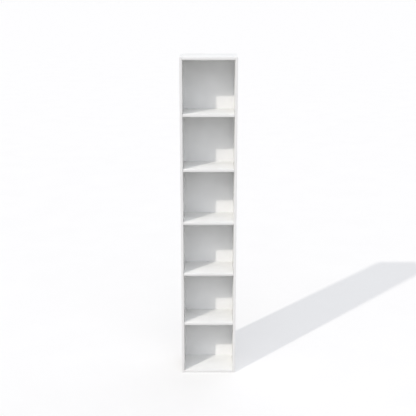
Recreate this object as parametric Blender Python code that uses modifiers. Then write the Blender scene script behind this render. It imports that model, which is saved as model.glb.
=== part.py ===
"""Closet organizer shelf: a tall, narrow, open tower of white coated boards with six equal compartments.

Two full-height sides carry the top, the bottom and a fixed middle shelf on cam fittings and dowels.
The other shelves lie loose on pins, and a thin back board sits in grooves.
Units are metres, +Z is up, the front faces -Y, and the origin is on the floor under the middle of the tower.
"""
import math

import bmesh
import bpy
from mathutils import Matrix, Vector

# Carcase boards
CARCASE_WIDTH = 0.360
CARCASE_DEPTH = 0.250
COMPARTMENTS = 6
CLEAR_HEIGHT = 0.335
BOARD = 0.016
EDGE_EASE = 0.0005

# Back board, and the groove that holds it
BACK_BOARD = 0.003
BACK_INSET = 0.012
GROOVE_DEPTH = 0.007

# Clearance between pieces that touch, and how far a cutter runs past the face it enters
FIT_GAP = 0.0003
OVERCUT = 0.001

# Cam fittings: a drum in the board's underside grips the head of a bolt in the side panel
FITTING_SETBACK = 0.037
CAM_DISTANCE = 0.024
CAM_WALL = 0.0019
CAM_HEADROOM = 0.0017
CAM_LIP = 0.0007
HEAD_RADIUS = 0.0028
HEAD_LENGTH = 0.0024
HEAD_STANDOFF = 0.0015
NECK_RADIUS = 0.0018
STEM_RADIUS = 0.0032
THREAD_RADIUS = 0.0030
THREAD_DEPTH = 0.0006
THREAD_TURNS = 4
SIDE_SKIN = 0.0047
CROSS_LENGTH = 0.0065
CROSS_WIDTH = 0.0014
CROSS_DEPTH = 0.0018

# Dowels, one beside the bolts at each end of a fixed board
DOWEL_RADIUS = 0.004
DOWEL_LENGTH = 0.030
DOWEL_CHAMFER = 0.001

# Shelf pins and their holes
PIN_SETBACK = 0.037
PIN_RADIUS = 0.0025
PIN_REACH = 0.009
PIN_CHAMFER = 0.0005
PIN_SKIN = 0.006
COLLAR_RADIUS = 0.004
COLLAR_LENGTH = 0.0008
HOLE_PITCH = 0.032
SPARE_HOLES = 1

# Flat sides of the round pieces and holes
CAM_SIDES = 16
DOWEL_SIDES = 12
BOLT_SIDES = 8
PIN_SIDES = 8

# Places that follow from the sizes above
SHELVES = COMPARTMENTS - 1
FIXED_SHELF = (SHELVES + 1) // 2
CARCASE_HEIGHT = COMPARTMENTS * CLEAR_HEIGHT + (COMPARTMENTS + 1) * BOARD
SHELF_PITCH = CLEAR_HEIGHT + BOARD
INNER_HALF = CARCASE_WIDTH / 2 - BOARD
FRONT = -CARCASE_DEPTH / 2
REAR = CARCASE_DEPTH / 2
BACK_FACE = REAR - BACK_INSET - BACK_BOARD
SHELF_PLAY = COLLAR_LENGTH + 2 * FIT_GAP
FITTING_ROWS = {"front": FRONT + FITTING_SETBACK, "rear": BACK_FACE - FITTING_SETBACK}
PIN_ROWS = {"front": FRONT + PIN_SETBACK, "rear": BACK_FACE - PIN_SETBACK}
DOWEL_ROW = sum(FITTING_ROWS.values()) / 2
ENDS = {"left": -1, "right": 1}
BLIND_DEPTH = BOARD - SIDE_SKIN
PIN_DEPTH = BOARD - PIN_SKIN


def hole_radius(radius, sides):
    """Radius of a hole with flat sides that clears a round piece by the fit gap."""
    return (radius + FIT_GAP) / math.cos(math.pi / sides)


# The drum follows from the bolt head that turns inside it.
CAM_CAVITY = hole_radius(math.hypot(HEAD_STANDOFF + HEAD_LENGTH, HEAD_RADIUS), CAM_SIDES)
CAM_RADIUS = CAM_CAVITY + CAM_WALL
CAM_BORE = hole_radius(CAM_RADIUS, CAM_SIDES)
CAM_BORE_TOP = HEAD_RADIUS + CAM_HEADROOM


def collection(name):
    """Make a collection under the scene's own."""
    made = bpy.data.collections.new(name)
    bpy.context.scene.collection.children.link(made)
    return made


def material(name, colour, roughness, metallic=0.0):
    """Make a Principled BSDF material from a linear colour."""
    made = bpy.data.materials.new(name)
    made.use_nodes = True
    shader = made.node_tree.nodes["Principled BSDF"]
    shader.inputs["Base Color"].default_value = (*colour, 1.0)
    shader.inputs["Roughness"].default_value = roughness
    shader.inputs["Metallic"].default_value = metallic
    return made


def add_box(bm, low, high):
    """Add a box between two corners."""
    low, high = Vector(low), Vector(high)
    place = Matrix.Translation((low + high) / 2) @ Matrix.Diagonal((*(high - low), 1.0))
    bmesh.ops.create_cube(bm, size=1.0, matrix=place)


def add_cylinder(bm, start, end, radius, sides):
    """Add a closed cylinder from one point to another."""
    start, end = Vector(start), Vector(end)
    turn = (end - start).to_track_quat("Z", "Y").to_matrix().to_4x4()
    place = Matrix.Translation((start + end) / 2) @ turn
    bmesh.ops.create_cone(bm, cap_ends=True, segments=sides, radius1=radius, radius2=radius,
                          depth=(end - start).length, matrix=place)


def mesh_from(bm, name):
    """Turn a bmesh into a mesh and free it."""
    mesh = bpy.data.meshes.new(name)
    bm.to_mesh(mesh)
    bm.free()
    return mesh


def place(name, mesh, finish, location=(0, 0, 0), rotation=(0, 0, 0)):
    """Add one named piece of the tower under its origin."""
    piece = bpy.data.objects.new(name, mesh)
    piece.location = location
    piece.rotation_euler = rotation
    piece.parent = ORIGIN
    if not mesh.materials:
        mesh.materials.append(finish)
    PARTS.objects.link(piece)
    return piece


def add_board(name, low, high, finish, ease=EDGE_EASE):
    """Add a flat board between two corners, with eased edges."""
    low, high = Vector(low), Vector(high)
    bm = bmesh.new()
    add_box(bm, (low - high) / 2, (high - low) / 2)
    board = place(name, mesh_from(bm, name), finish, (low + high) / 2)
    bevel = board.modifiers.new("eased edges", "BEVEL")
    bevel.width = ease
    bevel.segments = 1
    return board


def cut(piece, name, bm):
    """Cut a group of separate shapes out of a piece."""
    cutter = bpy.data.objects.new(name, mesh_from(bm, name))
    cutter.hide_render = True
    cutter.display_type = "WIRE"
    CUTTERS.objects.link(cutter)
    boolean = piece.modifiers.new(name, "BOOLEAN")
    boolean.operation = "DIFFERENCE"
    boolean.solver = "EXACT"
    boolean.object = cutter


def finished_mesh(piece):
    """Return a piece's mesh with its modifiers applied, and remove the piece."""
    graph = bpy.context.evaluated_depsgraph_get()
    mesh = bpy.data.meshes.new_from_object(piece.evaluated_get(graph))
    mesh.name = piece.name
    for modifier in piece.modifiers:
        if modifier.type == "BOOLEAN":
            bpy.data.objects.remove(modifier.object)
    bpy.data.objects.remove(piece)
    return mesh


def turned_mesh(name, profile, sides, finish):
    """Turn a profile of (radius, height) points, listed from top to bottom, about the Z axis."""
    mesh = bpy.data.meshes.new(name)
    points = [(radius, 0.0, height) for radius, height in profile]
    mesh.from_pydata(points, [(i, i + 1) for i in range(len(points) - 1)], [])
    pattern = place(name, mesh, finish)
    screw = pattern.modifiers.new("turned", "SCREW")
    screw.steps = screw.render_steps = sides
    screw.use_merge_vertices = True
    screw.merge_threshold = 0.00001
    made = finished_mesh(pattern)
    made.shade_smooth()
    made.set_sharp_from_angle(angle=math.radians(50))
    return made


def shelf_top(number):
    """Height of a shelf's upper face; shelf 1 is the uppermost."""
    return CARCASE_HEIGHT - BOARD - number * SHELF_PITCH + BOARD


def fixed_boards():
    """Height of the underside of each board that the cam fittings hold."""
    return {"top": CARCASE_HEIGHT - BOARD, "middle": shelf_top(FIXED_SHELF) - BOARD, "bottom": 0.0}


def loose_shelves():
    """Height of the underside of each shelf that lies on pins, numbered from the top."""
    numbers = [n for n in range(1, SHELVES + 1) if n != FIXED_SHELF]
    return {i: shelf_top(n) - BOARD for i, n in enumerate(numbers, 1)}


def pin_height(underside):
    """Height of the axis of the pins under a shelf."""
    return underside - FIT_GAP - PIN_RADIUS


def add_sides(finish):
    """Both side panels, bored for bolts, dowels and pins and grooved for the back board."""
    for end, side in ENDS.items():
        inner, outer = side * INNER_HALF, side * CARCASE_WIDTH / 2
        low, high = min(inner, outer), max(inner, outer)
        panel = add_board(f"{end}_side_panel", (low, FRONT, 0), (high, REAR, CARCASE_HEIGHT), finish)
        bm = bmesh.new()
        mouth = inner - side * OVERCUT
        blind = inner + side * BLIND_DEPTH
        for underside in fixed_boards().values():
            z = underside + BOARD / 2
            for y in FITTING_ROWS.values():
                add_cylinder(bm, (mouth, y, z), (blind, y, z), hole_radius(THREAD_RADIUS, BOLT_SIDES), BOLT_SIDES)
            add_cylinder(bm, (mouth, DOWEL_ROW, z), (blind, DOWEL_ROW, z),
                         hole_radius(DOWEL_RADIUS, DOWEL_SIDES), DOWEL_SIDES)
        for underside in loose_shelves().values():
            for step in range(-SPARE_HOLES, SPARE_HOLES + 1):
                z = pin_height(underside) + step * HOLE_PITCH
                for y in PIN_ROWS.values():
                    add_cylinder(bm, (mouth, y, z), (inner + side * PIN_DEPTH, y, z),
                                 hole_radius(PIN_RADIUS, PIN_SIDES), PIN_SIDES)
        floor = inner + side * GROOVE_DEPTH
        end_wood = BOARD - GROOVE_DEPTH
        add_box(bm, (min(mouth, floor), BACK_FACE - FIT_GAP, end_wood),
                (max(mouth, floor), BACK_FACE + BACK_BOARD + FIT_GAP, CARCASE_HEIGHT - end_wood))
        cut(panel, f"{end} side bores and groove", bm)


def add_fixed_boards(finish):
    """Top, middle and bottom boards, bored for the cam drums, bolts and dowels."""
    half = INNER_HALF - FIT_GAP
    for level, underside in fixed_boards().items():
        name = "fixed_middle_shelf" if level == "middle" else f"{level}_panel"
        rear = BACK_FACE - FIT_GAP if level == "middle" else REAR
        board = add_board(name, (-half, FRONT, underside), (half, rear, underside + BOARD), finish)
        axis = underside + BOARD / 2
        drums, ends = bmesh.new(), bmesh.new()
        for side in ENDS.values():
            cam = side * (half - CAM_DISTANCE)
            mouth = side * (half + OVERCUT)
            for y in FITTING_ROWS.values():
                add_cylinder(drums, (cam, y, underside - OVERCUT), (cam, y, axis + CAM_BORE_TOP), CAM_BORE, CAM_SIDES)
                add_cylinder(ends, (mouth, y, axis), (cam, y, axis), hole_radius(STEM_RADIUS, BOLT_SIDES), BOLT_SIDES)
            tip = side * (INNER_HALF - (DOWEL_LENGTH - (BLIND_DEPTH - FIT_GAP)) - FIT_GAP)
            add_cylinder(ends, (mouth, DOWEL_ROW, axis), (tip, DOWEL_ROW, axis),
                         hole_radius(DOWEL_RADIUS, DOWEL_SIDES), DOWEL_SIDES)
        if level != "middle":
            face, inward = (underside, -1) if level == "top" else (underside + BOARD, 1)
            mouth, floor = face + inward * OVERCUT, face - inward * GROOVE_DEPTH
            add_box(drums, (-half - OVERCUT, BACK_FACE - FIT_GAP, min(mouth, floor)),
                    (half + OVERCUT, BACK_FACE + BACK_BOARD + FIT_GAP, max(mouth, floor)))
        cut(board, f"{level} drum bores", drums)
        cut(board, f"{level} end bores", ends)


def add_loose_shelves(finish):
    """Shelves that lie on pins and pull out to the front."""
    half = INNER_HALF - SHELF_PLAY
    for number, underside in loose_shelves().items():
        add_board(f"adjustable_shelf_{number}", (-half, FRONT, underside),
                  (half, BACK_FACE - FIT_GAP, underside + BOARD), finish)


def add_back_board(finish):
    """Thin board that stands in the grooves of the sides, the top and the bottom."""
    half = INNER_HALF + GROOVE_DEPTH - FIT_GAP
    foot = BOARD - GROOVE_DEPTH + FIT_GAP
    add_board("back_board", (-half, BACK_FACE, foot), (half, BACK_FACE + BACK_BOARD, CARCASE_HEIGHT - foot),
              finish, ease=FIT_GAP)


def cam_mesh(finish):
    """Cam drum: a cup open at the top, with a half-round slot for the bolt's neck and a way in for its head."""
    foot, top = FIT_GAP - BOARD / 2, CAM_BORE_TOP - FIT_GAP
    bm = bmesh.new()
    add_cylinder(bm, (0, 0, foot), (0, 0, top), CAM_RADIUS, CAM_SIDES)
    drum = place("cam drum", mesh_from(bm, "cam drum"), finish)
    head_room = HEAD_RADIUS + FIT_GAP
    slot = HEAD_RADIUS - CAM_LIP
    past = CAM_RADIUS + OVERCUT
    cavity, neck_slot, head_way = bmesh.new(), bmesh.new(), bmesh.new()
    add_cylinder(cavity, (0, 0, -head_room), (0, 0, top + OVERCUT), CAM_CAVITY, CAM_SIDES)
    add_box(neck_slot, (-past, -slot, -slot), (past, past, slot))
    add_box(head_way, (-past, -head_room, -head_room), (0, head_room, head_room))
    cut(drum, "drum cavity", cavity)
    cut(drum, "neck slot", neck_slot)
    cut(drum, "head way", head_way)
    for name, reach in (("cross bar", (CROSS_LENGTH, CROSS_WIDTH)), ("cross arm", (CROSS_WIDTH, CROSS_LENGTH))):
        arm = bmesh.new()
        add_box(arm, (-reach[0] / 2, -reach[1] / 2, foot - OVERCUT), (reach[0] / 2, reach[1] / 2, foot + CROSS_DEPTH))
        cut(drum, name, arm)
    return finished_mesh(drum)


def bolt_mesh(finish):
    """Cam bolt along Z: thread in the side panel below zero, stem, neck, and head inside the drum."""
    cam_axis = FIT_GAP + CAM_DISTANCE
    tip = cam_axis - HEAD_STANDOFF
    shoulder = tip - HEAD_LENGTH
    neck_foot = cam_axis - CAM_BORE
    thread_end = FIT_GAP - BLIND_DEPTH
    profile = [(0, tip), (HEAD_RADIUS, tip), (HEAD_RADIUS, shoulder), (NECK_RADIUS, shoulder),
               (NECK_RADIUS, neck_foot), (STEM_RADIUS, neck_foot), (STEM_RADIUS, FIT_GAP)]
    turn = (FIT_GAP - thread_end) / THREAD_TURNS
    root = THREAD_RADIUS - THREAD_DEPTH
    for i in range(THREAD_TURNS):
        profile += [(root, FIT_GAP - i * turn), (THREAD_RADIUS, FIT_GAP - (i + 0.5) * turn)]
    profile += [(root, thread_end), (0, thread_end)]
    return turned_mesh("cam bolt", profile, BOLT_SIDES, finish)


def dowel_mesh(finish):
    """Dowel along Z, with chamfered ends, that crosses from the side panel into a board's end."""
    foot = FIT_GAP - BLIND_DEPTH
    tip = foot + DOWEL_LENGTH
    narrow = DOWEL_RADIUS - DOWEL_CHAMFER
    profile = [(0, tip), (narrow, tip), (DOWEL_RADIUS, tip - DOWEL_CHAMFER),
               (DOWEL_RADIUS, foot + DOWEL_CHAMFER), (narrow, foot), (0, foot)]
    return turned_mesh("dowel", profile, DOWEL_SIDES, finish)


def pin_mesh(finish):
    """Shelf pin along Z: a peg in the side panel, a thin collar on its face, and a stub under the shelf."""
    foot = FIT_GAP - PIN_DEPTH
    collar = FIT_GAP + COLLAR_LENGTH
    narrow = PIN_RADIUS - PIN_CHAMFER
    profile = [(0, PIN_REACH), (narrow, PIN_REACH), (PIN_RADIUS, PIN_REACH - PIN_CHAMFER), (PIN_RADIUS, collar),
               (COLLAR_RADIUS, collar), (COLLAR_RADIUS, FIT_GAP), (PIN_RADIUS, FIT_GAP),
               (PIN_RADIUS, foot + PIN_CHAMFER), (narrow, foot), (0, foot)]
    return turned_mesh("shelf pin", profile, PIN_SIDES, finish)


def inward_turn(side):
    """Rotation that lays a piece made along Z along X, from a side panel towards the middle."""
    return (0, -side * math.pi / 2, 0)


def add_cam_fittings(zinc, steel, beech):
    """Cam drums, cam bolts and dowels at both ends of each fixed board."""
    drum, bolt, dowel = cam_mesh(zinc), bolt_mesh(steel), dowel_mesh(beech)
    for level, underside in fixed_boards().items():
        axis = underside + BOARD / 2
        for end, side in ENDS.items():
            face = side * INNER_HALF
            cam = side * (INNER_HALF - FIT_GAP - CAM_DISTANCE)
            facing = 0 if side > 0 else math.pi
            for row, y in FITTING_ROWS.items():
                place(f"cam_lock_{level}_{end}_{row}", drum, zinc, (cam, y, axis), (0, 0, facing))
                place(f"cam_bolt_{level}_{end}_{row}", bolt, steel, (face, y, axis), inward_turn(side))
            place(f"dowel_{level}_{end}", dowel, beech, (face, DOWEL_ROW, axis), inward_turn(side))


def add_shelf_pins(nickel):
    """Four pins under each loose shelf."""
    pin = pin_mesh(nickel)
    for number, underside in loose_shelves().items():
        for end, side in ENDS.items():
            for row, y in PIN_ROWS.items():
                place(f"shelf_pin_{number}_{end}_{row}", pin, nickel,
                      (side * INNER_HALF, y, pin_height(underside)), inward_turn(side))


for old in list(bpy.data.objects):
    bpy.data.objects.remove(old)

PARTS = collection("closet_organizer_shelf")
CUTTERS = collection("cutters")
ORIGIN = bpy.data.objects.new("tower_origin", None)
PARTS.objects.link(ORIGIN)

WHITE_BOARD = material("white coated board", (0.80, 0.80, 0.78), 0.45)
WHITE_BACK = material("white lacquered fibreboard", (0.78, 0.78, 0.77), 0.55)
ZINC = material("die-cast zinc", (0.48, 0.48, 0.47), 0.42, 1.0)
STEEL = material("zinc-plated steel", (0.55, 0.55, 0.53), 0.32, 1.0)
BEECH = material("beech", (0.58, 0.39, 0.22), 0.65)
NICKEL = material("nickel-plated steel", (0.62, 0.60, 0.56), 0.25, 1.0)

add_sides(WHITE_BOARD)
add_fixed_boards(WHITE_BOARD)
add_loose_shelves(WHITE_BOARD)
add_back_board(WHITE_BACK)
add_cam_fittings(ZINC, STEEL, BEECH)
add_shelf_pins(NICKEL)
print(f"{len(PARTS.objects) - 1} pieces, {CARCASE_HEIGHT:.3f} m tall")
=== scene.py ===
# %% [markdown]
# # A tall white closet organizer shelf
# The object is a narrow open tower of coated chipboard: two sides, a top, a bottom, one fixed shelf and
# four loose ones, with a thin board behind. The CAD model already has every piece at its true size and
# place. This lesson dresses it: it models the boards again with their edge bands, bores and eased edges,
# models the small fittings more finely than the solids, and gives each surface a finish made of nodes.
# The CAD nodes come in first, as a fixed frame to build around. Everything is in metres, Z is up, and
# the open front looks along -Y. The box of the CAD model is kept, and its size is printed.

from math import cos, degrees, pi, radians, sin

import bmesh
import bpy
from mathutils import Matrix, Vector


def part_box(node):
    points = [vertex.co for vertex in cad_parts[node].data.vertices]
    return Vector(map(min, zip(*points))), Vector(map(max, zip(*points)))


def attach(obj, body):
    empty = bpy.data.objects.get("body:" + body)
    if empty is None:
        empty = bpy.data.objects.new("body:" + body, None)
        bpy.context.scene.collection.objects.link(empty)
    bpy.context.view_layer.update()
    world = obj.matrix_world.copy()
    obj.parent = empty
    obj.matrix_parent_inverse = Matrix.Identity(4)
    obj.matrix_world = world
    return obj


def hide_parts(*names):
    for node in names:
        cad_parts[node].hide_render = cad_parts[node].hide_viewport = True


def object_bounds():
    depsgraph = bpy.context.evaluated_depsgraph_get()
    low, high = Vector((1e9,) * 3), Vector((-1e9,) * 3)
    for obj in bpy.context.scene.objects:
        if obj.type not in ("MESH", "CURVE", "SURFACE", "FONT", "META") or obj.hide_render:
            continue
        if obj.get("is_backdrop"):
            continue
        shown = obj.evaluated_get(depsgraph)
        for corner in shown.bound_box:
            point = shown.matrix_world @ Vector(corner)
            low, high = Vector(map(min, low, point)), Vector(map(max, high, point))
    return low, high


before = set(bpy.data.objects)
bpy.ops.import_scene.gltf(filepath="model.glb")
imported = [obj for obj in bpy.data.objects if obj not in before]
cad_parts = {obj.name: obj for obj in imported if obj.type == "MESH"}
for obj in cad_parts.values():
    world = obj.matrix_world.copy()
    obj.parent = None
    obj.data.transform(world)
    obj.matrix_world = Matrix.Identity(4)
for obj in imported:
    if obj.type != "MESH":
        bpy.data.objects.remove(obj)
cad_low, cad_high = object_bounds()
print(len(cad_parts), "CAD nodes,", [round(side * 1000) for side in cad_high - cad_low], "mm")

# %% [markdown]
# ## Colours and nodes
# A colour picked on a screen is written as a hex value in sRGB, but a shader works with linear light, so
# one function turns the one into the other. A second function adds a node, sets its properties and fills
# its sockets: a number goes straight into the socket, and another node's output is linked to it. A
# colour ramp also gets its stops, each a position and a hex colour. With it, a finish reads like a list
# of what the real surface has.

# %% Helpers for the finishes


def linear(code):
    """Turn an sRGB hex colour such as "#F2F1EE" into linear red, green, blue and alpha."""
    shares = [int(code[place:place + 2], 16) / 255 for place in (1, 3, 5)]
    light = [s / 12.92 if s <= 0.04045 else ((s + 0.055) / 1.055) ** 2.4 for s in shares]
    return (*light, 1.0)


def add_node(tree, kind, sockets, stops=(), **settings):
    """Add a node to a tree. A socket takes a number, a colour or another node's output."""
    node = tree.nodes.new(kind)
    for name, value in settings.items():
        setattr(node, name, value)
    for number, (position, code) in enumerate(stops):
        node.color_ramp.elements[number].position = position
        node.color_ramp.elements[number].color = linear(code)
    for name, value in sockets.items():
        if isinstance(value, bpy.types.NodeSocket):
            tree.links.new(value, node.inputs[name])
        else:
            node.inputs[name].default_value = value
    return node


def start_finish(name):
    """Make a material with an empty node tree, and return it with its Object coordinates."""
    finish = bpy.data.materials.new(name)
    finish.use_nodes = True
    finish.node_tree.nodes.clear()
    place = add_node(finish.node_tree, "ShaderNodeTexCoord", {})
    return finish, finish.node_tree, place.outputs["Object"]


print("linear mid grey:", [round(value, 3) for value in linear("#808080")])

# %% [markdown]
# ## White melamine
# The boards are chipboard pressed between two sheets of white paper soaked in melamine resin. The steel
# plate of the press leaves a fine pearl grain in the resin, so the board is nearly matt: it has a soft
# sheen at a low angle and no mirror image. The grain could be geometry, but it is only some hundredths
# of a millimetre deep, so a noise feeds a Bump node. The real grain is about half a millimetre across,
# which no picture of a two metre tower shows, so it is drawn five times as coarse. Slow, faint clouds in
# the white and in the sheen keep so large a plain surface from looking like one flat colour.

# %% White melamine board
PEARL_GRAIN = 0.0025
WHITE_CLOUDS = 0.09
SHEEN_CLOUDS = 0.03

melamine, tree, place = start_finish("white_melamine_board")
clouds = add_node(tree, "ShaderNodeTexNoise", {"Vector": place, "Scale": 1 / WHITE_CLOUDS, "Detail": 3.0})
sheen = add_node(tree, "ShaderNodeTexNoise", {"Vector": place, "Scale": 1 / SHEEN_CLOUDS, "Detail": 2.0})
grain = add_node(tree, "ShaderNodeTexNoise", {"Vector": place, "Scale": 1 / PEARL_GRAIN, "Detail": 1.0})
white = add_node(tree, "ShaderNodeValToRGB", {"Fac": clouds.outputs["Fac"]},
                 stops=((0.3, "#EFEFED"), (0.7, "#F4F4F2")))
matt = add_node(tree, "ShaderNodeMapRange",
                {"Value": sheen.outputs["Fac"], "To Min": 0.54, "To Max": 0.68})
relief = add_node(tree, "ShaderNodeBump",
                  {"Height": grain.outputs["Fac"], "Strength": 0.12, "Distance": 0.0003})
resin = add_node(tree, "ShaderNodeBsdfPrincipled",
                 {"Base Color": white.outputs["Color"], "Roughness": matt.outputs["Result"],
                  "IOR": 1.5, "Normal": relief.outputs["Normal"]})
add_node(tree, "ShaderNodeOutputMaterial", {"Surface": resin.outputs["BSDF"]})
print("made", melamine.name)

# %% [markdown]
# ## White edge band
# The cut front edge of each board is closed with a strip of white ABS plastic, glued on and trimmed
# flush. It is extruded, so it is smoother than the melamine and takes a slightly sharper sheen, with
# faint draw lines along its length. A wave pattern could draw them, but it would repeat too evenly, so
# they are a noise that is stretched along one axis: a Mapping node shrinks the coordinates there. Real
# lines are about half a millimetre apart, and these are drawn three times as coarse, so that they show
# in a close view. The strips run up the sides and across the shelves, so one function makes a finish for
# each way.

# %% White ABS edge band
DRAW_LINES = 0.0015
DRAW_LENGTH = 0.12
LEVEL_AXIS = 0
UPRIGHT_AXIS = 2


def edge_band_finish(name, along):
    """Make the finish of an ABS strip whose faint draw lines run along one axis."""
    finish, tree, place = start_finish(name)
    stretch = [1 / DRAW_LINES] * 3
    stretch[along] = 1 / DRAW_LENGTH
    drawn = add_node(tree, "ShaderNodeMapping", {"Vector": place, "Scale": stretch})
    lines = add_node(tree, "ShaderNodeTexNoise",
                     {"Vector": drawn.outputs["Vector"], "Scale": 1.0, "Detail": 2.0})
    white = add_node(tree, "ShaderNodeValToRGB", {"Fac": lines.outputs["Fac"]},
                     stops=((0.3, "#EDECEA"), (0.7, "#F1F0EE")))
    sheen = add_node(tree, "ShaderNodeMapRange",
                     {"Value": lines.outputs["Fac"], "To Min": 0.28, "To Max": 0.4})
    relief = add_node(tree, "ShaderNodeBump",
                      {"Height": lines.outputs["Fac"], "Strength": 0.08, "Distance": 0.0002})
    plastic = add_node(tree, "ShaderNodeBsdfPrincipled",
                       {"Base Color": white.outputs["Color"], "Roughness": sheen.outputs["Result"],
                        "IOR": 1.53, "Normal": relief.outputs["Normal"]})
    add_node(tree, "ShaderNodeOutputMaterial", {"Surface": plastic.outputs["BSDF"]})
    return finish


upright_band = edge_band_finish("white_abs_edge_band_upright", UPRIGHT_AXIS)
level_band = edge_band_finish("white_abs_edge_band_level", LEVEL_AXIS)
print("made", upright_band.name, "and", level_band.name)

# %% [markdown]
# ## Raw chipboard
# Where a drill or a saw has been through the board, the pressed chips show: straw and brown flakes, dull
# and rough. It is seen in the spare pin holes and round the cam drums. Chips are flat splinters a few
# millimetres long. A noise alone would look like cork, so a Voronoi pattern gives each chip its own
# tone, and a finer noise roughens them.

# %% Raw chipboard
CHIP_SIZE = 0.0022
DUST_SIZE = 0.0006

chipboard, tree, place = start_finish("raw_chipboard")
chips = add_node(tree, "ShaderNodeTexVoronoi", {"Vector": place, "Scale": 1 / CHIP_SIZE})
tone = add_node(tree, "ShaderNodeSeparateColor", {"Color": chips.outputs["Color"]})
dust = add_node(tree, "ShaderNodeTexNoise", {"Vector": place, "Scale": 1 / DUST_SIZE})
straw = add_node(tree, "ShaderNodeValToRGB", {"Fac": tone.outputs["Red"]},
                 stops=((0.0, "#8A6A45"), (1.0, "#C9A777")))
relief = add_node(tree, "ShaderNodeBump",
                  {"Height": dust.outputs["Fac"], "Strength": 0.5, "Distance": 0.0003})
wood = add_node(tree, "ShaderNodeBsdfPrincipled",
                {"Base Color": straw.outputs["Color"], "Roughness": 0.85, "IOR": 1.5,
                 "Normal": relief.outputs["Normal"]})
add_node(tree, "ShaderNodeOutputMaterial", {"Surface": wood.outputs["BSDF"]})
print("made", chipboard.name)

# %% [markdown]
# ## White lacquered fibreboard
# The back is 3 mm fibreboard with a rolled white lacquer on both faces. The roller leaves a soft orange
# peel, a little coarser than the grain of the melamine, and the lacquer is thinner, so the white is a
# shade greyer. Like the grain, the peel is too shallow to be geometry, and a Bump node makes it. It is
# really about a millimetre wide and is drawn at four, so that it shows.

# %% White lacquered fibreboard
ORANGE_PEEL = 0.004
LACQUER_CLOUDS = 0.14

lacquer, tree, place = start_finish("white_lacquered_fibreboard")
clouds = add_node(tree, "ShaderNodeTexNoise", {"Vector": place, "Scale": 1 / LACQUER_CLOUDS, "Detail": 2.0})
peel = add_node(tree, "ShaderNodeTexNoise", {"Vector": place, "Scale": 1 / ORANGE_PEEL, "Detail": 1.0})
white = add_node(tree, "ShaderNodeValToRGB", {"Fac": clouds.outputs["Fac"]},
                 stops=((0.3, "#E9E9E8"), (0.7, "#EFEFEE")))
matt = add_node(tree, "ShaderNodeMapRange", {"Value": peel.outputs["Fac"], "To Min": 0.5, "To Max": 0.64})
relief = add_node(tree, "ShaderNodeBump",
                  {"Height": peel.outputs["Fac"], "Strength": 0.1, "Distance": 0.0004})
paint = add_node(tree, "ShaderNodeBsdfPrincipled",
                 {"Base Color": white.outputs["Color"], "Roughness": matt.outputs["Result"],
                  "IOR": 1.48, "Normal": relief.outputs["Normal"]})
add_node(tree, "ShaderNodeOutputMaterial", {"Surface": paint.outputs["BSDF"]})
print("made", lacquer.name)

# %% [markdown]
# ## Metals of the fittings
# Three metals are used. The shelf pins are steel with a bright nickel plate, warm and nearly
# mirror-like. The cam drums are die-cast zinc, a dull blue-grey with the cloudy skin that hot metal gets
# in a cold mould. The cam bolts are steel with a thin passivated zinc plate. Each could have nodes of
# its own, but the three differ only in colour, in roughness and in the size and depth of their mottling,
# so one function makes them all. A metal keeps the shader's default IOR.

# %% Nickel plate, cast zinc and zinc plate


def metal_finish(name, dark, light, smooth, rough, mottle, depth):
    """Make a metal whose colour and roughness drift with a mottling of a given size, in metres."""
    finish, tree, place = start_finish(name)
    skin = add_node(tree, "ShaderNodeTexNoise", {"Vector": place, "Scale": 1 / mottle, "Detail": 4.0})
    colour = add_node(tree, "ShaderNodeValToRGB", {"Fac": skin.outputs["Fac"]},
                      stops=((0.3, dark), (0.7, light)))
    sheen = add_node(tree, "ShaderNodeMapRange",
                     {"Value": skin.outputs["Fac"], "To Min": smooth, "To Max": rough})
    relief = add_node(tree, "ShaderNodeBump",
                      {"Height": skin.outputs["Fac"], "Strength": 0.2, "Distance": depth})
    metal = add_node(tree, "ShaderNodeBsdfPrincipled",
                     {"Base Color": colour.outputs["Color"], "Metallic": 1.0,
                      "Roughness": sheen.outputs["Result"], "Normal": relief.outputs["Normal"]})
    add_node(tree, "ShaderNodeOutputMaterial", {"Surface": metal.outputs["BSDF"]})
    return finish


nickel = metal_finish("nickel_plated_steel", "#C3BEB3", "#D3CFC6",
                      smooth=0.16, rough=0.3, mottle=0.003, depth=0.00002)
cast_zinc = metal_finish("die_cast_zinc", "#A2A4A6", "#BABCBD",
                         smooth=0.36, rough=0.56, mottle=0.0015, depth=0.0001)
zinc_plate = metal_finish("zinc_plated_steel", "#B4B6B6", "#C8C9C6",
                          smooth=0.24, rough=0.42, mottle=0.002, depth=0.00004)
print("made", nickel.name, cast_zinc.name, zinc_plate.name)

# %% [markdown]
# ## Beech
# The dowels are turned from beech, which is pink-brown with a close straight grain and short darker
# flecks. Year rings could be drawn too, but they show only on a peg's ends, deep in their holes. The
# grain runs along a dowel, and every dowel here lies along X, so a noise that is stretched that way is
# enough.

# %% Beech
GRAIN_WIDTH = 0.0008
GRAIN_LENGTH = 0.012

beech, tree, place = start_finish("turned_beech")
along_grain = add_node(tree, "ShaderNodeMapping",
                       {"Vector": place, "Scale": (1 / GRAIN_LENGTH, 1 / GRAIN_WIDTH, 1 / GRAIN_WIDTH)})
grain = add_node(tree, "ShaderNodeTexNoise",
                 {"Vector": along_grain.outputs["Vector"], "Scale": 1.0, "Detail": 3.0})
brown = add_node(tree, "ShaderNodeValToRGB", {"Fac": grain.outputs["Fac"]},
                 stops=((0.3, "#B98A62"), (0.7, "#D9B48C")))
relief = add_node(tree, "ShaderNodeBump",
                  {"Height": grain.outputs["Fac"], "Strength": 0.3, "Distance": 0.0001})
wood = add_node(tree, "ShaderNodeBsdfPrincipled",
                {"Base Color": brown.outputs["Color"], "Roughness": 0.6, "IOR": 1.5,
                 "Normal": relief.outputs["Normal"]})
add_node(tree, "ShaderNodeOutputMaterial", {"Surface": wood.outputs["BSDF"]})
print("made", beech.name)

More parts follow.
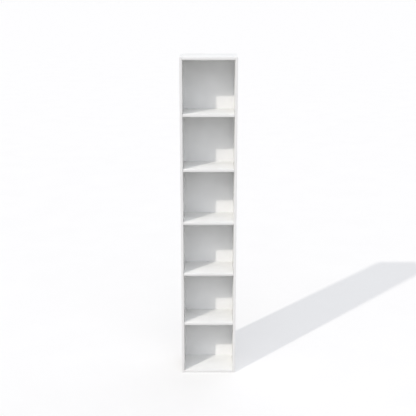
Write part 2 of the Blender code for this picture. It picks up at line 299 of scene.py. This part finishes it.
# %% [markdown]
# ## Tools for making boards
# A board is sawn, banded, drilled and grooved, and the helpers here do the same with Blender's own
# operators. A cube primitive is stretched between two corners and its scale is applied, so that the
# place is in the mesh. Edges are picked in edit mode by a test on their place and bevelled. Holes are
# cut with a Boolean: all drill bits are joined to one tool first, because one cut is faster and cleaner
# than thirty. The tool carries the chipboard finish, and the TRANSFER mode hands it to the new faces
# inside each hole. A cut can leave two points in one place, so doubles are merged after it.

# %% Helpers for blocks and edges


def add_block(name, low, high, finish):
    """Add a cube primitive that fills the space between two corners."""
    bpy.ops.object.select_all(action="DESELECT")
    bpy.ops.mesh.primitive_cube_add(size=1.0, location=(low + high) / 2)
    block = bpy.context.object
    block.name = name
    block.data.name = name
    block.scale = high - low
    bpy.ops.object.transform_apply(location=True, rotation=True, scale=True)
    block.data.materials.append(finish)
    return block


def make_active(piece):
    """Select one piece alone, for the next operator."""
    bpy.ops.object.select_all(action="DESELECT")
    piece.select_set(True)
    bpy.context.view_layer.objects.active = piece


def bevel_edges(piece, radius, segments, wanted=lambda edge: True):
    """Round the edges of a piece that pass a test."""
    make_active(piece)
    bpy.ops.object.mode_set(mode="EDIT")
    bpy.ops.mesh.select_mode(type="EDGE")
    bpy.ops.mesh.select_all(action="DESELECT")
    shape = bmesh.from_edit_mesh(piece.data)
    for edge in shape.edges:
        edge.select_set(wanted(edge))
    bmesh.update_edit_mesh(piece.data)
    bpy.ops.mesh.bevel(offset=radius, segments=segments, affect="EDGES")
    bpy.ops.object.mode_set(mode="OBJECT")


print("made the helpers for blocks and edges")

# %% Helpers for cutting
HOLE_SIDES = 32
SAME_POINT = 0.000001


def drill_bit(start, end, radius):
    """Add a cylinder from one point to another, to cut a hole with."""
    bpy.ops.object.select_all(action="DESELECT")
    run = end - start
    aim = run.to_track_quat("Z", "Y").to_euler()
    bpy.ops.mesh.primitive_cylinder_add(vertices=HOLE_SIDES, radius=radius, depth=run.length,
                                        location=(start + end) / 2, rotation=aim)
    bit = bpy.context.object
    bit.data.materials.append(chipboard)
    return bit


def carve(piece, bits, operation="DIFFERENCE"):
    """Join the bits to one tool, cut it out of a piece or add it, and throw the tool away."""
    make_active(bits[0])
    for bit in bits[1:]:
        bit.select_set(True)
    if len(bits) > 1:
        bpy.ops.object.join()
    tool = bpy.context.object
    boolean = piece.modifiers.new("carve", "BOOLEAN")
    boolean.object = tool
    boolean.operation = operation
    boolean.solver = "EXACT"
    boolean.material_mode = "TRANSFER"
    make_active(piece)
    bpy.ops.object.modifier_apply(modifier=boolean.name)
    bpy.ops.object.mode_set(mode="EDIT")
    bpy.ops.mesh.select_all(action="SELECT")
    bpy.ops.mesh.remove_doubles(threshold=SAME_POINT)
    bpy.ops.object.mode_set(mode="OBJECT")
    make_active(tool)
    bpy.ops.object.delete()


print("holes have", HOLE_SIDES, "sides")

# %% Helper for a finished piece
SMOOTH_ANGLE = radians(35)


def settle(piece, body, slot, *nodes):
    """Shade a piece, and let it ride on a body in place of CAD nodes, which are hidden. The slot is not
    used.
    """
    make_active(piece)
    bpy.ops.object.shade_smooth_by_angle(angle=SMOOTH_ANGLE)
    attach(piece, body)
    if nodes:
        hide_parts(*nodes)


print("edges sharper than", round(degrees(SMOOTH_ANGLE)), "degrees stay sharp")

# %% [markdown]
# ## Edge bands
# A band is a strip 1 mm thick and as wide as the board, whose two long front edges are scraped to a
# radius. It could be painted on the board as a second material, but then the fine joint line and the
# rounded edge, which catch the light along every shelf, would be missing. So each band is a piece of its
# own: a thin block with its long front edges bevelled in four steps. The board behind it is shortened by
# the band.

# %% Helper for an edge band
BAND_THICK = 0.001
BAND_ROUND = 0.0009
BAND_STEPS = 4


def add_band(node, body):
    """Add the front edge band of a board, from the box of its CAD node."""
    low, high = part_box(node)
    upright = high.z - low.z > high.x - low.x
    along = UPRIGHT_AXIS if upright else LEVEL_AXIS
    end = Vector((high.x, low.y + BAND_THICK, high.z))
    band = add_block(node + "_edge_band", low, end, upright_band if upright else level_band)
    half_length = (end - low)[along] / 2

    def long_front_edge(edge):
        first, last = (corner.co for corner in edge.verts)
        is_long = abs(first[along] - last[along]) > half_length
        return is_long and max(first.y, last.y) < low.y + BAND_THICK / 2

    bevel_edges(band, BAND_ROUND, BAND_STEPS, long_front_edge)
    settle(band, body, "white_board")


print("band", BAND_THICK * 1000, "mm thick, rounded", BAND_ROUND * 1000, "mm")

# %% [markdown]
# ## Side panels
# Each side is one upright board. On its inner face it has the holes of the shelf pins, with a spare one
# above and below each, the blind holes of the cam bolts and the dowels, and a long groove that holds the
# back. The CAD nodes of the pins, bolts and dowels say where every hole is, so the drill follows their
# boxes and no place is written twice. All arrises are eased by a quarter of a millimetre, as a sanded
# edge is.

# %% Helpers for a board and its groove
ARRIS = 0.00025
ARRIS_STEPS = 2
HOLE_PLAY = 0.0003


def start_board(node):
    """Add a board behind its edge band, with eased arrises."""
    low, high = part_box(node)
    low.y += BAND_THICK
    board = add_block(node + "_visual", low, high, melamine)
    bevel_edges(board, ARRIS, ARRIS_STEPS)
    return board, low, high


def groove_bit(low, high):
    """Add a block for cutting the groove of the back board, with play all round."""
    back_low, back_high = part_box("back_board")
    play = Vector((HOLE_PLAY, HOLE_PLAY, HOLE_PLAY))
    start = Vector(map(max, back_low - play, low))
    end = Vector(map(min, back_high + play, high))
    return add_block("groove", start, end, chipboard)


print("arrises eased by", ARRIS * 1000, "mm, play in holes", HOLE_PLAY * 1000, "mm")

# %% Helper for the holes of a side panel
# A pin and a bolt are wider outside the hole than in it, but a dowel's radius can be read off its box
PEG_RADIUS = {"shelf_pin": 0.0025, "cam_bolt": 0.003, "dowel": None}
PAST_FACE = 0.002
SPARE_STEP = 0.032


def side_holes(end, side, face):
    """Add bits for the holes of one side panel, from the boxes of what goes into them."""
    bits = []
    for node in sorted(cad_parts):
        kind = next((name for name in PEG_RADIUS if node.startswith(name)), None)
        if kind is None or f"_{end}" not in node:
            continue
        low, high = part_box(node)
        middle = (low + high) / 2
        mouth = Vector((face - side * PAST_FACE, middle.y, middle.z))
        bottom = Vector(((high.x if side > 0 else low.x) + side * HOLE_PLAY, middle.y, middle.z))
        radius = PEG_RADIUS[kind] or (high.z - low.z) / 2
        for step in (-1, 0, 1) if kind == "shelf_pin" else (0,):
            up = Vector((0, 0, step * SPARE_STEP))
            bits.append(drill_bit(mouth + up, bottom + up, radius + HOLE_PLAY))
    return bits


print("spare pin holes", SPARE_STEP * 1000, "mm above and below")

# %% Side panels
ENDS = {"left": -1, "right": 1}

for end, side in ENDS.items():
    node = end + "_side_panel"
    panel, low, high = start_board(node)
    face = low.x if side > 0 else high.x
    reach = Vector((PAST_FACE, 0, 0))
    carve(panel, side_holes(end, side, face) + [groove_bit(low - reach, high + reach)])
    settle(panel, "carcase", "white_board", node)
    add_band(node, "carcase")
    print(panel.name, "has", len(panel.data.polygons), "faces")

# %% [markdown]
# ## Top, fixed shelf and bottom
# These three boards are held by cam fittings. In each underside there are four round bores for the cam
# drums, and in each end three small ones for two bolts and a dowel. The drum bore and the bolt bore meet
# inside the board, so they are cut in two goes: joined in one tool, they would overlap each other. The
# top and the bottom reach to the very back and have the groove of the back board; the fixed shelf stops
# in front of it.

# %% Helper for the bores of a fixed board
ROWS = ("front", "rear")


def fitting_bits(level, end, side, low, high):
    """Add bits for one end of a fixed board: those of its drums, and those of its bolts and dowel."""
    drums = []
    bores = []
    mouth = (high.x if side > 0 else low.x) + side * PAST_FACE
    for row in ROWS:
        cam_low, cam_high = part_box(f"cam_lock_{level}_{end}_{row}")
        cam = (cam_low + cam_high) / 2
        start = Vector((cam.x, cam.y, low.z - PAST_FACE))
        top = Vector((cam.x, cam.y, cam_high.z + HOLE_PLAY))
        drums.append(drill_bit(start, top, (cam_high.x - cam_low.x) / 2 + HOLE_PLAY))
        bolt_low, bolt_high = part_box(f"cam_bolt_{level}_{end}_{row}")
        axis = (bolt_low.z + bolt_high.z) / 2
        stem = (bolt_high.z - bolt_low.z) / 2 + HOLE_PLAY
        bores.append(drill_bit(Vector((mouth, cam.y, axis)), Vector((cam.x, cam.y, axis)), stem))
    dowel_low, dowel_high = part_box(f"dowel_{level}_{end}")
    dowel = (dowel_low + dowel_high) / 2
    tip = (dowel_low.x if side > 0 else dowel_high.x) - side * HOLE_PLAY
    peg = (dowel_high.z - dowel_low.z) / 2 + HOLE_PLAY
    bores.append(drill_bit(Vector((mouth, dowel.y, dowel.z)), Vector((tip, dowel.y, dowel.z)), peg))
    return drums, bores


print("fittings in a", " and a ".join(ROWS), "row")

# %% Top, fixed shelf and bottom
FIXED_BOARDS = {"top": "top_panel", "middle": "fixed_middle_shelf", "bottom": "bottom_panel"}

for level, node in FIXED_BOARDS.items():
    board, low, high = start_board(node)
    drums = []
    bores = []
    for end, side in ENDS.items():
        end_drums, end_bores = fitting_bits(level, end, side, low, high)
        drums += end_drums
        bores += end_bores
    if level != "middle":
        reach = Vector((PAST_FACE, 0, PAST_FACE))
        drums.append(groove_bit(low - reach, high + reach))
    carve(board, drums)
    carve(board, bores)
    settle(board, "carcase", "white_board", node)
    add_band(node, "carcase")
    print(board.name, "has", len(board.data.polygons), "faces")

# %% [markdown]
# ## Loose shelves
# The other four shelves are plain boards that lie on pins, all alike. An Array modifier could repeat
# one, but each shelf has to slide out on its own. So one is modelled, and the other three are copies
# with their own meshes, moved down by the distance between the CAD nodes. A moved object would carry its
# pattern along with it, so the move is applied to the mesh: each shelf then lies in another part of the
# clouds of its white.

# %% Loose shelves


def copy_piece(pattern, name, move):
    """Copy a piece with its own mesh, and move the mesh by a matrix."""
    make_active(pattern)
    bpy.ops.object.duplicate(linked=False)
    copy = bpy.context.object
    copy.name = name
    copy.data.name = name
    copy.matrix_world = move
    bpy.ops.object.transform_apply(location=True, rotation=True, scale=True)
    return copy


LOOSE = sorted(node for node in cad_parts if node.startswith("adjustable_shelf"))

first_shelf, first_low, first_high = start_board(LOOSE[0])
shelves = [first_shelf]
for node in LOOSE[1:]:
    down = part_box(node)[0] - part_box(LOOSE[0])[0]
    shelves.append(copy_piece(first_shelf, node + "_visual", Matrix.Translation(down)))
for number, (shelf, node) in enumerate(zip(shelves, LOOSE), 1):
    settle(shelf, f"loose_shelf_{number}", "white_board", node)
    add_band(node, f"loose_shelf_{number}")
print(len(shelves), "loose shelves,", round((first_high.x - first_low.x) * 1000, 1), "mm wide")

# %% [markdown]
# ## Back board
# The back is a plain thin panel, and the CAD solid already has its shape and eased edges. It could be
# modelled again like the boards, but it has no band and no bores to add. So it stays as it is and only
# gets the lacquer.

# %% Back board
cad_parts["back_board"].material_slots[0].material = lacquer
print("back board in", lacquer.name)

# %% [markdown]
# ## Shelf pins
# A shelf pin is turned on a lathe: a peg that goes into the hole, a thin collar that stops at the panel,
# and a stub that the shelf lies on, domed at its tip. A Screw modifier could spin its profile, but
# operators can follow the lathe more closely: a disc is extruded up the axis again and again, and each
# new ring is scaled to the next radius. One pin is made along Z, with the face of the panel at zero, and
# copied to its sixteen places, turned to point inwards. The bolts and the dowels further on are turned
# and set in the same way. The CAD pins have eight flat sides. These are as long and as wide, but round.

# %% Shape of a shelf pin
PIN_SIDES = 28
# Each step of a profile is a radius and a height above the face of the panel
PIN_PROFILE = [(0.0017, -0.0097), (0.0022, -0.0096), (0.0025, -0.0092), (0.0025, 0.0003), (0.0037, 0.0003),
               (0.004, 0.00045), (0.004, 0.00095), (0.0037, 0.0011), (0.0025, 0.0011), (0.0025, 0.0081),
               (0.0023, 0.00865), (0.0017, 0.00895), (0.0008, 0.009)]


def turn_up(name, profile, sides, finish):
    """Make a turned piece along Z by extruding a disc through (radius, height) steps."""
    bpy.ops.object.select_all(action="DESELECT")
    radius, height = profile[0]
    bpy.ops.mesh.primitive_circle_add(vertices=sides, radius=radius, fill_type="NGON",
                                      location=(0, 0, height))
    piece = bpy.context.object
    piece.name = name
    bpy.ops.object.transform_apply(location=True, rotation=True, scale=True)
    bpy.ops.object.mode_set(mode="EDIT")
    bpy.ops.mesh.select_mode(type="FACE")
    bpy.ops.mesh.select_all(action="SELECT")
    for next_radius, next_height in profile[1:]:
        bpy.ops.mesh.extrude_region_move(TRANSFORM_OT_translate={"value": (0, 0, next_height - height)})
        growth = next_radius / radius
        bpy.ops.transform.resize(value=(growth, growth, 1.0), center_override=(0, 0, next_height))
        radius, height = next_radius, next_height
    bpy.ops.mesh.select_all(action="SELECT")
    bpy.ops.mesh.normals_make_consistent(inside=False)
    bpy.ops.object.mode_set(mode="OBJECT")
    piece.data.materials.append(finish)
    return piece


pin = turn_up("turned_pin", PIN_PROFILE, PIN_SIDES, nickel)
print("a pin is", round((PIN_PROFILE[-1][1] - PIN_PROFILE[0][1]) * 1000, 1), "mm long")

# %% Shelf pins


def set_in_panels(pattern, kind, slot):
    """Copy a piece made along Z to the places of its CAD nodes in the side panels, pointing inwards."""
    nodes = sorted(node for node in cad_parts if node.startswith(kind))
    for node in nodes:
        low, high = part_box(node)
        side = ENDS["left" if "_left" in node else "right"]
        panel_low, panel_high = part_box("left_side_panel" if side < 0 else "right_side_panel")
        face = panel_high.x if side < 0 else panel_low.x
        seat = Matrix.Translation((face, (low.y + high.y) / 2, (low.z + high.z) / 2))
        inwards = Matrix.Rotation(-side * pi / 2, 4, "Y")
        settle(copy_piece(pattern, node + "_visual", seat @ inwards), "carcase", slot, node)
    faces = len(pattern.data.polygons)
    make_active(pattern)
    bpy.ops.object.delete()
    print(len(nodes), kind, "pieces of", faces, "faces")


set_in_panels(pin, "shelf_pin", "nickel_pin")

# %% [markdown]
# ## Cam drums
# A cam lock is a zinc drum that sits in a bore of about 15 mm in the underside of a fixed board. Its
# face has a cross for the screwdriver and a small arrow that points to the bolt when the lock is open.
# Inside, a slot takes the bolt's head and draws it in over a half turn. The drum could be turned like a
# pin, but its cuts aren't round. So it is a cylinder with its rim bevelled, and the hollow, the slot,
# the cross and the arrow are cut with the carve helper, one after another because they overlap. It is
# made once, with the bolt to the right, and copied to the twelve places.

# %% Blank of a cam drum
DRUM_SIDES = 48
DRUM_RADIUS = 0.0071
DRUM_FOOT = -0.0077
DRUM_TOP = 0.0042
RIM_ROUND = 0.0004
RIM_STEPS = 3
RIM_NEAR = 0.0001

bpy.ops.object.select_all(action="DESELECT")
bpy.ops.mesh.primitive_cylinder_add(vertices=DRUM_SIDES, radius=DRUM_RADIUS, depth=DRUM_TOP - DRUM_FOOT,
                                    location=(0, 0, (DRUM_TOP + DRUM_FOOT) / 2))
drum = bpy.context.object
drum.name = "cam_drum"
bpy.ops.object.transform_apply(location=True, rotation=True, scale=True)
drum.data.materials.append(cast_zinc)
bevel_edges(drum, RIM_ROUND, RIM_STEPS,
            lambda edge: max(corner.co.z for corner in edge.verts) < DRUM_FOOT + RIM_NEAR)
print("drum", round(2 * DRUM_RADIUS * 1000, 1), "mm across")

# %% Hollow, slot, cross and arrow of the drum
CAVITY_RADIUS = 0.0052
HEAD_ROOM = 0.0031
NECK_ROOM = 0.0021
CROSS_LONG = 0.0066
CROSS_WIDE = 0.0014
CROSS_DEEP = 0.0018
ARROW_AT = 0.0052
ARROW_SIZE = 0.0011
ARROW_DEEP = 0.0004
TRIANGLE = 3

past = DRUM_RADIUS + PAST_FACE
cavity = drill_bit(Vector((0, 0, -HEAD_ROOM)), Vector((0, 0, DRUM_TOP + PAST_FACE)), CAVITY_RADIUS)
cavity.data.materials[0] = cast_zinc
carve(drum, [cavity])
CUTS = {
    "neck_slot": ((-past, -NECK_ROOM, -NECK_ROOM), (past, past, NECK_ROOM)),
    "head_way": ((-past, -HEAD_ROOM, -HEAD_ROOM), (0, HEAD_ROOM, HEAD_ROOM)),
    "cross_bar": ((-CROSS_LONG / 2, -CROSS_WIDE / 2, DRUM_FOOT - PAST_FACE),
                  (CROSS_LONG / 2, CROSS_WIDE / 2, DRUM_FOOT + CROSS_DEEP)),
    "cross_arm": ((-CROSS_WIDE / 2, -CROSS_LONG / 2, DRUM_FOOT - PAST_FACE),
                  (CROSS_WIDE / 2, CROSS_LONG / 2, DRUM_FOOT + CROSS_DEEP)),
}
for name, (low, high) in CUTS.items():
    carve(drum, [add_block(name, Vector(low), Vector(high), cast_zinc)])
bpy.ops.object.select_all(action="DESELECT")
bpy.ops.mesh.primitive_cylinder_add(vertices=TRIANGLE, radius=ARROW_SIZE, depth=2 * ARROW_DEEP,
                                    location=(-ARROW_AT, 0, DRUM_FOOT), rotation=(0, 0, pi / 2))
arrow = bpy.context.object
arrow.data.materials.append(cast_zinc)
carve(drum, [arrow])
print("drum has", len(drum.data.polygons), "faces")

# %% Copies of the drum
for level in FIXED_BOARDS:
    for end, side in ENDS.items():
        for row in ROWS:
            node = f"cam_lock_{level}_{end}_{row}"
            low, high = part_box(node)
            seat = Matrix.Translation(((low.x + high.x) / 2, (low.y + high.y) / 2, high.z - DRUM_TOP))
            facing = Matrix.Rotation(0 if side > 0 else pi, 4, "Z")
            copy = copy_piece(drum, node + "_visual", seat @ facing)
            settle(copy, f"cam_{level}_{end}_{row}", "zinc_cam", node)
make_active(drum)
bpy.ops.object.delete()
print(len(FIXED_BOARDS) * len(ENDS) * len(ROWS), "cam drums")

# %% [markdown]
# ## Cam bolts
# A cam bolt is screwed into the side panel, and its head stands out for the drum to grip. It is turned
# from steel and has a coarse thread, for chipboard. The shaft is made like the pins. A thread climbs as
# it goes round, so it can't be extruded: a small triangle is swept round the axis by a Screw modifier,
# which lifts it by one pitch in each turn. Its two open ends are filled, and a Boolean union makes it
# one with the shaft. The cross in the head, for the screwdriver, is carved.

# %% Thread of a cam bolt
THREAD_ROOT = 0.0024
THREAD_HIGH = 0.0006
THREAD_START = -0.0096
THREAD_PITCH = 0.0028
THREAD_TURNS = 3
THREAD_STEPS = 28

bpy.ops.object.select_all(action="DESELECT")
bpy.ops.mesh.primitive_circle_add(vertices=TRIANGLE, radius=THREAD_HIGH,
                                  location=(THREAD_ROOT, 0, THREAD_START), rotation=(pi / 2, pi / 2, 0))
thread = bpy.context.object
bpy.ops.object.transform_apply(location=True, rotation=True, scale=True)
sweep = thread.modifiers.new("sweep", "SCREW")
sweep.screw_offset = THREAD_PITCH
sweep.iterations = THREAD_TURNS
sweep.steps = THREAD_STEPS
sweep.render_steps = THREAD_STEPS
bpy.ops.object.modifier_apply(modifier=sweep.name)
bpy.ops.object.mode_set(mode="EDIT")
bpy.ops.mesh.select_all(action="SELECT")
bpy.ops.mesh.fill_holes(sides=TRIANGLE)
bpy.ops.mesh.select_all(action="SELECT")
bpy.ops.mesh.normals_make_consistent(inside=False)
bpy.ops.object.mode_set(mode="OBJECT")
thread.data.materials.append(zinc_plate)
print("thread of", THREAD_TURNS, "turns,", THREAD_PITCH * 1000, "mm apart")

# %% Cam bolts
BOLT_SIDES = 32
BOLT_PROFILE = [(0.001, -0.011), (0.0018, -0.0107), (0.0024, -0.0098), (0.0024, 0.0003), (0.0029, 0.0003),
                (0.0032, 0.0006), (0.0032, 0.0162), (0.0029, 0.0165), (0.0018, 0.0167), (0.0018, 0.0204),
                (0.0025, 0.0204), (0.0028, 0.0207), (0.0028, 0.0219), (0.0025, 0.0224), (0.0018, 0.0227),
                (0.0006, 0.0228)]
DRIVE_LONG = 0.0032
DRIVE_WIDE = 0.0007
DRIVE_FLOOR = 0.0216

bolt = turn_up("threaded_bolt", BOLT_PROFILE, BOLT_SIDES, zinc_plate)
carve(bolt, [thread], "UNION")
for name, (long, wide) in {"bar": (DRIVE_LONG, DRIVE_WIDE), "arm": (DRIVE_WIDE, DRIVE_LONG)}.items():
    low = Vector((-long / 2, -wide / 2, DRIVE_FLOOR))
    high = Vector((long / 2, wide / 2, DRIVE_FLOOR + PAST_FACE))
    carve(bolt, [add_block(name, low, high, zinc_plate)])
set_in_panels(bolt, "cam_bolt", "steel_bolt")

# %% [markdown]
# ## Dowels
# A dowel is a beech peg with rounded ends. Fine flutes run down it, so that the glue and the air can get
# out of the hole. A bump could only hint at them, and they would be missing from the outline of the end.
# So the peg is made like the pins, and thin rods, set on every fourth corner of its outline, are carved
# away in one cut.

# %% Dowels
DOWEL_SIDES = 56
DOWEL_PROFILE = [(0.0024, -0.011), (0.0031, -0.0108), (0.0037, -0.0103), (0.004, -0.0095), (0.004, 0.0175),
                 (0.0037, 0.0183), (0.0031, 0.0188), (0.0024, 0.019)]
FLUTES = 14
FLUTE_DEEP = 0.0004
FLUTE_TURN = 0.25

dowel = turn_up("fluted_dowel", DOWEL_PROFILE, DOWEL_SIDES, beech)
dowel_radius = max(radius for radius, height in DOWEL_PROFILE)
rods = []
for number in range(FLUTES):
    angle = 2 * pi * (number + FLUTE_TURN) / FLUTES
    spot = Vector((cos(angle) * dowel_radius, sin(angle) * dowel_radius, 0))
    foot = spot + Vector((0, 0, DOWEL_PROFILE[0][1] - PAST_FACE))
    top = spot + Vector((0, 0, DOWEL_PROFILE[-1][1] + PAST_FACE))
    rods.append(drill_bit(foot, top, FLUTE_DEEP))
    rods[-1].data.materials[0] = beech
carve(dowel, rods)
set_in_panels(dowel, "dowel", "beech_dowel")

# %% [markdown]
# ## Floor
# The floor is a large plain sheet. A studio picture shows it as white paper with a soft shadow on it.
# More light would make it white, but the tower would then be too bright. So the paper glows a little for
# rays that come from the camera, or by way of a glossy or a clear surface, which Light Path tells apart.
# For the light that bounces off it, it is an ordinary pale grey sheet, so that it doesn't light the foot
# of the tower from below.

# %% White paper sweep
FLOOR_GLOW = 0.35
PAPER_CLOUDS = 0.4


def seen_directly(tree):
    """Give 1 for rays from the camera, a gloss or a clear surface, and 0 for light that bounces."""
    ray = add_node(tree, "ShaderNodeLightPath", {})
    seen = ray.outputs["Is Camera Ray"]
    for kind in ("Is Glossy Ray", "Is Transmission Ray"):
        either = add_node(tree, "ShaderNodeMath", {0: seen, 1: ray.outputs[kind]}, operation="MAXIMUM")
        seen = either.outputs[0]
    return seen


paper, tree, place = start_finish("white_paper_sweep")
clouds = add_node(tree, "ShaderNodeTexNoise", {"Vector": place, "Scale": 1 / PAPER_CLOUDS, "Detail": 2.0})
pale = add_node(tree, "ShaderNodeValToRGB", {"Fac": clouds.outputs["Fac"]},
                stops=((0.3, "#F8F7F5"), (0.7, "#FAF9F7")))
sheet = add_node(tree, "ShaderNodeBsdfDiffuse", {"Color": pale.outputs["Color"]})
glow = add_node(tree, "ShaderNodeEmission", {"Color": linear("#FFFFFF"), "Strength": 1.0})
shown = add_node(tree, "ShaderNodeMixShader", {0: FLOOR_GLOW, 1: sheet.outputs[0], 2: glow.outputs[0]})
bounce = add_node(tree, "ShaderNodeBsdfDiffuse", {"Color": linear("#A8A8A6")})
mixed = add_node(tree, "ShaderNodeMixShader",
                 {0: seen_directly(tree), 1: bounce.outputs[0], 2: shown.outputs[0]})
add_node(tree, "ShaderNodeOutputMaterial", {"Surface": mixed.outputs[0]})
print("made", paper.name)

# %% Floor
FLOOR_SIDE = 160.0
FLOOR_GAP = 0.0002

bpy.ops.object.select_all(action="DESELECT")
bpy.ops.mesh.primitive_plane_add(size=FLOOR_SIDE, location=(0, 0, cad_low.z - FLOOR_GAP))
floor = bpy.context.object
floor.name = "studio_floor"
floor.data.materials.append(paper)
floor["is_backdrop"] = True
print("floor", FLOOR_SIDE, "m square")

# %% [markdown]
# ## Light
# One clear light comes from high on the left front and lays a slanting patch on the back of every
# compartment. A Sun lamp gives it: its direction is read off the patches, and its small angle keeps
# their edges crisp. The rest is soft light, as from a large softbox high in front of the tower, which
# fills the shelves more than the backs above them, and a weaker one behind the tower, so that its
# outside reads as white too. An area lamp would light the top shelf more than the lowest, so the soft
# lights are painted into the World instead: each is a broad bright spot round one direction, on top of a
# weak even fill. The camera and the metal see plain white paper there.

# %% Sun
SUN_TRAVEL = Vector((0.2138, 0.235, -0.2534))
SUN_AWAY = 6
SUN_STRENGTH = 1.55
SUN_ANGLE = radians(1.2)

bpy.ops.object.light_add(type="SUN", location=-SUN_AWAY * SUN_TRAVEL)
sun = bpy.context.object
sun.name = "key_light"
sun.rotation_euler = SUN_TRAVEL.to_track_quat("-Z", "Y").to_euler()
sun.data.energy = SUN_STRENGTH
sun.data.angle = SUN_ANGLE
sun.data.color = linear("#FFFAF3")[:3]
print("sun comes down at", round(90 - degrees(SUN_TRAVEL.angle((0, 0, -1))), 1), "degrees")

# %% Soft light
# Each softbox: its turn from the front and its height, both in degrees, then its strength and its focus
SOFTBOXES = {"front": (0, 45, 1.76, 4.5), "rear": (145, 5, 1.45, 2.0)}
EVEN_FILL = 0.21

world = bpy.data.worlds.new("soft_studio")
bpy.context.scene.world = world
world.use_nodes = True
tree = world.node_tree
tree.nodes.clear()
way = add_node(tree, "ShaderNodeTexCoord", {}).outputs["Generated"]
brightness = EVEN_FILL
for turn, up, strength, focus in SOFTBOXES.values():
    out = cos(radians(up))
    towards = (sin(radians(turn)) * out, -cos(radians(turn)) * out, sin(radians(up)))
    facing = add_node(tree, "ShaderNodeVectorMath", {0: way, 1: towards}, operation="DOT_PRODUCT")
    ahead = add_node(tree, "ShaderNodeMath", {0: facing.outputs["Value"], 1: 0.0}, operation="MAXIMUM")
    spot = add_node(tree, "ShaderNodeMath", {0: ahead.outputs[0], 1: focus}, operation="POWER")
    added = add_node(tree, "ShaderNodeMath", {0: spot.outputs[0], 1: strength, 2: brightness},
                     operation="MULTIPLY_ADD")
    brightness = added.outputs[0]
soft = add_node(tree, "ShaderNodeBackground", {"Color": linear("#F4F7FF"), "Strength": brightness})
white = add_node(tree, "ShaderNodeBackground", {"Color": linear("#FDFDFD"), "Strength": 1.0})
mixed = add_node(tree, "ShaderNodeMixShader",
                 {0: seen_directly(tree), 1: soft.outputs[0], 2: white.outputs[0]})
add_node(tree, "ShaderNodeOutputWorld", {"Surface": mixed.outputs[0]})
print(len(SOFTBOXES), "softboxes and a fill of", EVEN_FILL)

# %% [markdown]
# ## Camera
# The tower is seen from straight in front and from above its top, so that the floor of every compartment
# shows. A shifted lens would keep the sides parallel, but the shift would stay when the camera goes
# round the tower, and push it out of the picture there. So the camera looks down at the middle of the
# tower instead, and stands well back with a long lens, so that the sides run together only a little. The
# Standard view transform shows a colour about as it is written.

# %% Camera
CAMERA_AWAY = 5.0
CAMERA_HIGH = 2.6
CAMERA_DOWN = radians(16.0)
CAMERA_SIDE = -0.0037
LENS = 70.1
SENSOR = 36.0
FARTHEST = 300.0

camera_data = bpy.data.cameras.new("portrait_lens")
camera = bpy.data.objects.new("camera", camera_data)
bpy.context.scene.collection.objects.link(camera)
camera_data.sensor_width = SENSOR
camera_data.lens = LENS
camera_data.clip_end = FARTHEST
camera.location = (CAMERA_SIDE, cad_low.y - CAMERA_AWAY, CAMERA_HIGH)
camera.rotation_euler = (pi / 2 - CAMERA_DOWN, 0, 0)
bpy.context.scene.camera = camera
bpy.context.scene.view_settings.view_transform = "Standard"
print("camera", CAMERA_AWAY, "m in front,", CAMERA_HIGH, "m high")

# %% [markdown]
# ## Size
# The box of the finished model is measured, and its size is printed.

# %% Measure the finished model
low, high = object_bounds()
print("visual", [round(side * 1000, 2) for side in high - low], "mm")
